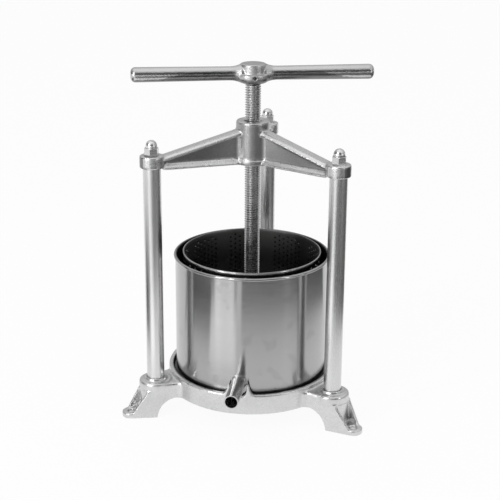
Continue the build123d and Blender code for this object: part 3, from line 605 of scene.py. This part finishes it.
def makeBasketTree(weld):
    tree, given, result, keys = newGeoTree("perforatedWall", {
        "NodeSocketObject": ("Hole tile", "Half tile", "Strip", "Top ring", "Low ring"),
        "NodeSocketInt": ("Bands", "Columns", "Rows"),
        "NodeSocketFloat": ("Column pitch", "Row pitch", "Low", "Middle radius", "First turn"),
        "NodeSocketMaterial": ("Finish",)})
    index = put(tree, "GeometryNodeInputIndex").outputs[0]
    middleR, rowPitch = given["Middle radius"], given["Row pitch"]
    columnTotal = calc(tree, "MULTIPLY", given["Bands"], given["Columns"])
    bandLength = calc(tree, "DIVIDE", calc(tree, "MULTIPLY", middleR, 2 * math.pi), given["Bands"])
    startU = calc(tree, "MULTIPLY", given["First turn"], middleR)
    column = calc(tree, "MODULO", index, columnTotal)
    row = calc(tree, "FLOOR", calc(tree, "DIVIDE", index, columnTotal))
    band = calc(tree, "FLOOR", calc(tree, "DIVIDE", column, given["Columns"]))
    inBand = calc(tree, "MODULO", column, given["Columns"])
    odd = calc(tree, "MODULO", inBand, 2.0)
    middle = calc(tree, "DIVIDE", calc(tree, "SUBTRACT", given["Columns"], 1.0), 2.0)
    bandU = calc(tree, "MULTIPLY_ADD", band, bandLength, startU)
    placeU = calc(tree, "MULTIPLY_ADD", calc(tree, "SUBTRACT", inBand, middle), given["Column pitch"], bandU)

    def laid(count, u, v, tile):
        values = {"Count": count, "Position": joinPlace(tree, u, v)}
        points = put(tree, "GeometryNodePoints", None, values).outputs[0]
        values = {"Points": points, "Instance": objectShape(tree, given[tile])}
        return put(tree, "GeometryNodeInstanceOnPoints", None, values).outputs[0]

    # holes: every other column stands half a pitch higher
    stagger = calc(tree, "MULTIPLY", odd, 0.5)
    holeRow = calc(tree, "ADD", calc(tree, "ADD", row, stagger), 0.5)
    holeV = calc(tree, "MULTIPLY_ADD", holeRow, rowPitch, given["Low"])
    holes = laid(calc(tree, "MULTIPLY", columnTotal, given["Rows"]), placeU, holeV, "Hole tile")
    # half tiles close the ends of the columns
    endRow = calc(tree, "MULTIPLY", calc(tree, "SUBTRACT", 1.0, odd), given["Rows"])
    halfV = calc(tree, "MULTIPLY_ADD", calc(tree, "ADD", endRow, 0.25), rowPitch, given["Low"])
    halves = laid(columnTotal, placeU, halfV, "Half tile")
    # plain strips between the bands
    stripU = calc(tree, "MULTIPLY_ADD", calc(tree, "ADD", index, 0.5), bandLength, startU)
    strips = laid(given["Bands"], stripU, given["Low"], "Strip")
    flat = joinShapes(tree, (holes, halves, strips))
    real = put(tree, "GeometryNodeRealizeInstances", None, {0: flat}).outputs[0]
    # bend the flat wall round the axis
    spot = splitPlace(tree, put(tree, "GeometryNodeInputPosition").outputs[0])
    angle = calc(tree, "DIVIDE", spot["X"], middleR)
    bent = roundPlace(tree, calc(tree, "ADD", spot["Z"], middleR), angle, spot["Y"])
    wall = put(tree, "GeometryNodeSetPosition", None, {"Geometry": real, "Position": bent}).outputs[0]
    rings = [objectShape(tree, given[label]) for label in ("Top ring", "Low ring")]
    closeTree(tree, [wall] + rings, weld, given["Finish"], result)
    return tree, keys


# the rings are stepped like the tiles, so that wall and rings weld into one closed shell
def ringTurns(lay, middle, bandLength, holesLength):
    columnTurn = lay["columnPitch"] / 2 / middle
    stripTurn = (bandLength - holesLength) / middle / lay["stripSteps"]
    turns = []
    for band in range(lay["bands"]):
        start = lay["firstTurn"] + (band * bandLength - holesLength / 2) / middle
        turns += [start + columnTurn * step for step in range(2 * lay["columns"])]
        start += holesLength / middle
        turns += [start + stripTurn * step for step in range(lay["stripSteps"])]
    return turns


def makeBasket(lay):
    wall, radius, top, roll = lay["wall"], lay["radius"], lay["high"], lay["roll"]
    bore, middle = radius - wall, radius - wall / 2
    holeTop = top - lay["topMargin"]
    holeLow = holeTop - (lay["rows"] + 0.5) * lay["rowPitch"]
    bandLength = 2 * math.pi * middle / lay["bands"]
    holesLength = lay["columns"] * lay["columnPitch"]
    hole = holeTile(lay)
    half = plainTile("halfTile", lay["columnPitch"], -lay["rowPitch"] / 4, lay["rowPitch"] / 4, wall, 2, 1)
    strip = plainTile("strip", bandLength - holesLength, 0.0, holeTop - holeLow, wall, lay["stripSteps"],
                      2 * lay["rows"] + 1)
    turns = ringTurns(lay, middle, bandLength, holesLength)
    hemR, hemLow = radius + lay["hem"], top - lay["hemHeight"]
    outerCorner = [(hemR - inwards * roll, top - down * roll) for inwards, down in lay["rimCorner"]]
    innerCorner = [(bore + inwards * roll, top - down * roll) for inwards, down in reversed(lay["rimCorner"])]
    topProfile = [(radius, holeTop), (radius, hemLow), (hemR - roll, hemLow), (hemR, hemLow + roll)]
    topProfile += outerCorner + innerCorner + [(bore, holeTop)]
    lowProfile = [(bore, holeLow), (bore, lay["low"]), (radius, lay["low"]), (radius, holeLow)]
    topRing = lathe("topRing", topProfile, turns, len(topProfile) - 1)
    lowRing = lathe("lowRing", lowProfile, turns, len(lowProfile) - 1)
    tree, keys = makeBasketTree(lay["weld"])
    piece = runGeoTree("basketShell", tree, keys, {
        "Hole tile": hole, "Half tile": half, "Strip": strip, "Top ring": topRing, "Low ring": lowRing,
        "Bands": lay["bands"], "Columns": lay["columns"], "Rows": lay["rows"],
        "Column pitch": lay["columnPitch"], "Row pitch": lay["rowPitch"], "Low": holeLow,
        "Middle radius": middle, "First turn": lay["firstTurn"], "Finish": basketSteel}, lay["sharpAngle"])
    dropObjects(hole, half, strip, topRing, lowRing)
    finishPiece(piece, "basket", "basket")


makeBasket(basketLay)


# screw: the helical thread over a turned core
screwLay = {
    "radius": 8.0 * mm, "depth": 1.5 * mm, "pitch": 2.5 * mm, "rootShare": 0.25, "crestShare": 0.125,
    "low": 129.1 * mm, "high": 344.5 * mm, "steps": 48, "journalR": 5.0 * mm, "journalLow": 113.9 * mm,
    "shankR": 6.0 * mm, "shankHigh": 358.0 * mm, "tapR": 3.05 * mm, "tapHigh": 128.9 * mm,
    "weld": 0.002 * mm, "sharpAngle": 40.0,
}
threadCorners = 4  # start of the root, of the rising flank, of the crest and of the falling flank


def makeThreadTree(weld):
    tree, given, result, keys = newGeoTree("helicalThread", {
        "NodeSocketObject": ("Core",),
        "NodeSocketInt": ("Steps", "Turns"),
        "NodeSocketFloat": ("Crest radius", "Depth", "Pitch", "Root width", "Crest width", "Low", "High"),
        "NodeSocketMaterial": ("Finish",)})
    pitch, rootWidth, crestWidth = given["Pitch"], given["Root width"], given["Crest width"]
    low, high = given["Low"], given["High"]
    # a flat sheet, as wide as one turn and with a row for each corner of each turn
    lastRow = calc(tree, "MULTIPLY", given["Turns"], threadCorners)
    sheet = put(tree, "GeometryNodeMeshGrid", None, {
        "Size X": 1.0, "Size Y": 1.0, "Vertices X": calc(tree, "ADD", given["Steps"], 1.0),
        "Vertices Y": calc(tree, "ADD", lastRow, 1.0)}).outputs["Mesh"]
    spot = splitPlace(tree, put(tree, "GeometryNodeInputPosition").outputs[0])
    share = calc(tree, "ADD", spot["X"], 0.5)
    row = calc(tree, "ROUND", calc(tree, "MULTIPLY", calc(tree, "ADD", spot["Y"], 0.5), lastRow))
    corner = calc(tree, "MODULO", row, threadCorners)
    turn = calc(tree, "FLOOR", calc(tree, "DIVIDE", row, threadCorners))
    afterRoot, afterRise, afterCrest = (calc(tree, "GREATER_THAN", corner, edge) for edge in (0.5, 1.5, 2.5))
    # height of each corner, held between the ends of the thread
    flanks = calc(tree, "SUBTRACT", calc(tree, "SUBTRACT", pitch, rootWidth), crestWidth)
    rise = calc(tree, "MULTIPLY", afterRoot, rootWidth)
    rise = calc(tree, "MULTIPLY_ADD", afterRise, calc(tree, "MULTIPLY", flanks, 0.5), rise)
    rise = calc(tree, "MULTIPLY_ADD", afterCrest, crestWidth, rise)
    climb = calc(tree, "MULTIPLY", calc(tree, "ADD", calc(tree, "SUBTRACT", turn, 1.0), share), pitch)
    level = calc(tree, "ADD", calc(tree, "ADD", low, climb), rise)
    above, below = calc(tree, "GREATER_THAN", level, low), calc(tree, "LESS_THAN", level, high)
    between = calc(tree, "MULTIPLY", above, below)
    height = calc(tree, "MINIMUM", calc(tree, "MAXIMUM", level, low), high)
    # the sheet is wound round the axis, with the crest's corners out by the thread's depth
    rootR = calc(tree, "SUBTRACT", given["Crest radius"], given["Depth"])
    reach = calc(tree, "MULTIPLY_ADD", calc(tree, "MULTIPLY", afterRise, between), given["Depth"], rootR)
    wound = roundPlace(tree, reach, calc(tree, "MULTIPLY", share, 2 * math.pi), height)
    thread = put(tree, "GeometryNodeSetPosition", None, {"Geometry": sheet, "Position": wound}).outputs[0]
    closeTree(tree, (thread, objectShape(tree, given["Core"])), weld, given["Finish"], result)
    return tree, keys


def makeScrew(lay):
    rootR = lay["radius"] - lay["depth"]
    coreTurns = [2 * math.pi * step / lay["steps"] for step in range(lay["steps"])]
    # the thread takes the place of the core's long wall, so the profile starts above it and ends below it
    profile = [
        (rootR, lay["high"]), (lay["shankR"], lay["high"]), (lay["shankR"], lay["shankHigh"]),
        (0.0, lay["shankHigh"]), (0.0, lay["tapHigh"]), (lay["tapR"], lay["tapHigh"]),
        (lay["tapR"], lay["journalLow"]), (lay["journalR"], lay["journalLow"]), (lay["journalR"], lay["low"]),
        (rootR, lay["low"])]
    core = lathe("core", profile, coreTurns, len(profile) - 1)
    tree, keys = makeThreadTree(lay["weld"])
    threadTurns = math.ceil((lay["high"] - lay["low"]) / lay["pitch"]) + 1
    piece = runGeoTree("screwThread", tree, keys, {
        "Core": core, "Steps": lay["steps"], "Turns": threadTurns, "Crest radius": lay["radius"],
        "Depth": lay["depth"], "Pitch": lay["pitch"], "Root width": lay["pitch"] * lay["rootShare"],
        "Crest width": lay["pitch"] * lay["crestShare"], "Low": lay["low"], "High": lay["high"],
        "Finish": screwSteel}, lay["sharpAngle"])
    dropObjects(core)
    finishPiece(piece, "screw", "screw")


makeScrew(screwLay)
print("basket and screw made")


# CAD nodes that keep their own shape
kept = {
    "column_left": columnSteel, "column_right": columnSteel, "column_rear": columnSteel,
    "tie_rod_left": fastenerSteel, "tie_rod_right": fastenerSteel, "tie_rod_rear": fastenerSteel,
    "dome_nuts": fastenerSteel, "base_washers": fastenerSteel, "base_nuts": fastenerSteel,
    "retaining_washer": fastenerSteel, "retaining_screw": fastenerSteel, "handle_pin": fastenerSteel,
    "tank": tankSteel, "spout": spoutSteel, "drain_plate": basketSteel, "thrust_washer": bearingBrass,
}
for node, material in kept.items():
    for materialSlot in cadNodes[node].material_slots:
        materialSlot.material = material
print("kept nodes dressed")


# 1 for the rays that see the white background: straight, mirrored or through glass
def seenRays(tree):
    path = put(tree, "ShaderNodeLightPath").outputs
    seen = calc(tree, "MAXIMUM", path["Is Camera Ray"], path["Is Glossy Ray"])
    return calc(tree, "MAXIMUM", seen, path["Is Transmission Ray"])


# white paper floor, which keeps the object's shadow
floorLook = {
    "half": 60.0, "tone": 0.9, "whiteShare": 0.93, "fibre": 60.0, "fibreDetail": 3.0, "fibreShare": 0.02,
}


def makeFloor(look):
    half = look["half"]
    mesh = bpy.data.meshes.new("floor")
    corners = [(-half, -half, 0), (half, -half, 0), (half, half, 0), (-half, half, 0)]
    mesh.from_pydata(corners, [], [(0, 1, 2, 3)])
    floor = newObject("floor", mesh)
    material = bpy.data.materials.new("floorPaper")
    tree, surface = emptyTree(material, "ShaderNodeOutputMaterial")
    coord = put(tree, "ShaderNodeTexCoord").outputs["Object"]
    fibre = noise(tree, coord, look["fibre"], look["fibreDetail"])
    tone = calc(tree, "MULTIPLY_ADD", fibre, look["fibreShare"], look["tone"])
    paper = put(tree, "ShaderNodeBsdfDiffuse", None, {"Color": grey(tree, tone)}).outputs[0]
    white = put(tree, "ShaderNodeEmission", None, {"Strength": 1.0}).outputs[0]
    share = calc(tree, "MULTIPLY", seenRays(tree), look["whiteShare"])
    mixed = put(tree, "ShaderNodeMixShader", None, {0: share, 1: paper, 2: white})
    tree.links.new(mixed.outputs[0], surface)
    floor.data.materials.append(material)


# the table round the paper, glowing boards there only for the metal to mirror: dim on three sides, and in
# front of the lamps a bright board that is a painted reflection of the lamps in the table
table = {
    "edge": {"from": -95.0, "to": -2.0, "near": 0.39, "far": 0.55, "level": 0.08},
    "near": {"from": -95.0, "to": -71.0, "near": 0.55, "far": 1.45, "level": 0.18},
    "front": {"from": -71.0, "to": -2.0, "near": 0.55, "far": 5.0, "level": 0.19},
    "right": {"from": -2.0, "to": 44.0, "near": 0.35, "far": 5.0, "level": 0.13},
    "left": {"from": -188.0, "to": -138.0, "near": 0.32, "far": 0.72, "level": 0.05},
    # a glowing board: painted reflection of the lamps in the table
    "lit": {"from": -138.0, "to": -101.0, "near": 0.24, "far": 0.42, "level": 1.5},
    "litLeft": {"from": -138.0, "to": -133.0, "near": 0.42, "far": 1.4, "level": 0.1},
    "litRight": {"from": -105.0, "to": -101.0, "near": 0.42, "far": 1.4, "level": 0.1},
}
tableLay = {"lift": 0.6 * mm, "steps": 24}


def makeTablePart(name, part, lay):
    material = bpy.data.materials.new(name)
    tree, surface = emptyTree(material, "ShaderNodeOutputMaterial")
    glow = put(tree, "ShaderNodeEmission", None, {"Strength": part["level"]})
    tree.links.new(glow.outputs[0], surface)
    count, sweep = lay["steps"], part["to"] - part["from"]
    turns = [math.radians(part["from"] + sweep * step / count) for step in range(count + 1)]
    points = [(reach * math.cos(turn), reach * math.sin(turn), lay["lift"])
              for turn in turns for reach in (part["near"], part["far"])]
    faces = [(2 * step, 2 * step + 1, 2 * step + 3, 2 * step + 2) for step in range(count)]
    mesh = bpy.data.meshes.new(name)
    mesh.from_pydata(points, [], faces)
    board = newObject(name, mesh)
    board.data.materials.append(material)
    board.visible_camera = False
    board.visible_diffuse = False
    board.visible_shadow = False


makeFloor(floorLook)
for name, part in table.items():
    makeTablePart(name + "Table", part, tableLay)


# a dim studio room: paler overhead and on the left of the camera, dark on its right and at the far left
roomLook = {
    "skyFrom": 0.05, "skyTo": 0.8, "skyLow": 0.34, "skyHigh": 0.84, "wallTop": 0.78, "wallFull": 0.6,
    "dark": {"angle": -58.0, "edge": 0.6, "full": 0.85, "share": 0.82},
    "left": {"angle": -168.0, "edge": 0.86, "full": 0.95, "share": 0.7},
    "bright": {"angle": -120.0, "edge": 0.94, "full": 0.99, "gain": 0.55},
    "paleTop": 0.04, "paleFade": 0.02, "leastFlat": 0.01,
}


def makeRoom(look):
    world = bpy.data.worlds.new("studio")
    scene.world = world
    tree, surface = emptyTree(world, "ShaderNodeOutputWorld")
    way = splitPlace(tree, put(tree, "ShaderNodeTexCoord").outputs["Generated"])
    level = fade(tree, way["Z"], look["skyFrom"], look["skyTo"], look["skyLow"], look["skyHigh"])
    flat = calc(tree, "SQRT", calc(tree, "SUBTRACT", 1.0, calc(tree, "POWER", way["Z"], 2.0)))
    flat = calc(tree, "MAXIMUM", flat, look["leastFlat"])
    wall = fade(tree, way["Z"], look["wallTop"], look["wallFull"])

    # 1 on the wall that a side's angle points to
    def towards(side):
        turn = math.radians(side["angle"])
        aim = weigh(tree, way["X"], math.cos(turn), way["Y"], math.sin(turn))
        share = fade(tree, calc(tree, "DIVIDE", aim, flat), side["edge"], side["full"])
        return calc(tree, "MULTIPLY", share, wall)

    for side in (look["dark"], look["left"]):
        level = dim(tree, level, towards(side), side["share"])
    level = calc(tree, "MULTIPLY_ADD", towards(look["bright"]), look["bright"]["gain"], level)
    # the white paper runs up a little way beyond the horizon, for low views
    pale = fade(tree, way["Z"], look["paleTop"] + look["paleFade"], look["paleTop"])
    level = blend(tree, calc(tree, "MULTIPLY", pale, seenRays(tree)), level, 1.0)
    back = put(tree, "ShaderNodeBackground", None, {"Color": grey(tree, level), "Strength": 1.0})
    tree.links.new(back.outputs[0], surface)


makeRoom(roomLook)

lamps = {
    "keyStrip": {"place": (-0.954, -1.157, 0.75), "size": (0.15, 1.5), "power": 6.5},
    "nearStrip": {"place": (-0.595, -1.55, 0.75), "size": (0.09, 1.5), "power": 3.3},
    "rightStrip": {"place": (1.3, -0.74, 0.75), "size": (0.16, 1.4), "power": 2.4},
    "topBox": {"place": (-0.3, -0.1, 2.0), "size": (1.8, 1.8), "power": 3.0},
}
lampAim = Vector((0.0, 0.0, 0.2))


def makeLamp(name, lamp):
    light = bpy.data.lights.new(name, "AREA")
    light.shape = "RECTANGLE"
    light.size, light.size_y = lamp["size"]
    light.energy = lamp["power"]
    bulb = newObject(name, light)
    bulb.location = lamp["place"]
    bulb.rotation_euler = (lampAim - Vector(lamp["place"])).to_track_quat("-Z", "Y").to_euler()


for name, lamp in lamps.items():
    makeLamp(name, lamp)
print("floor and lamps placed")

cameraLook = {
    "lens": 89.49, "sensor": 36.0, "clip": 0.01, "reach": 1.2269, "height": 0.594,
    "azimuth": 8.62, "pitch": 19.173, "roll": 0.406, "yaw": 0.0922,
}


def makeCamera(look):
    camera = bpy.data.cameras.new("camera")
    camera.lens = look["lens"]
    camera.sensor_width = look["sensor"]
    camera.clip_start = look["clip"]
    eye = newObject("camera", camera)
    turn = math.radians(look["azimuth"])
    across, along = look["reach"] * math.sin(turn), -look["reach"] * math.cos(turn)
    spot = Matrix.Translation((across, along, look["height"]))
    spin = Matrix.Rotation(turn + math.radians(look["yaw"]), 4, "Z")
    tilt = Matrix.Rotation(math.radians(90.0 - look["pitch"]), 4, "X")
    lean = Matrix.Rotation(math.radians(look["roll"]), 4, "Z")
    eye.matrix_world = spot @ spin @ tilt @ lean
    scene.camera = eye


makeCamera(cameraLook)
scene.view_settings.view_transform = "Standard"
print("camera placed")
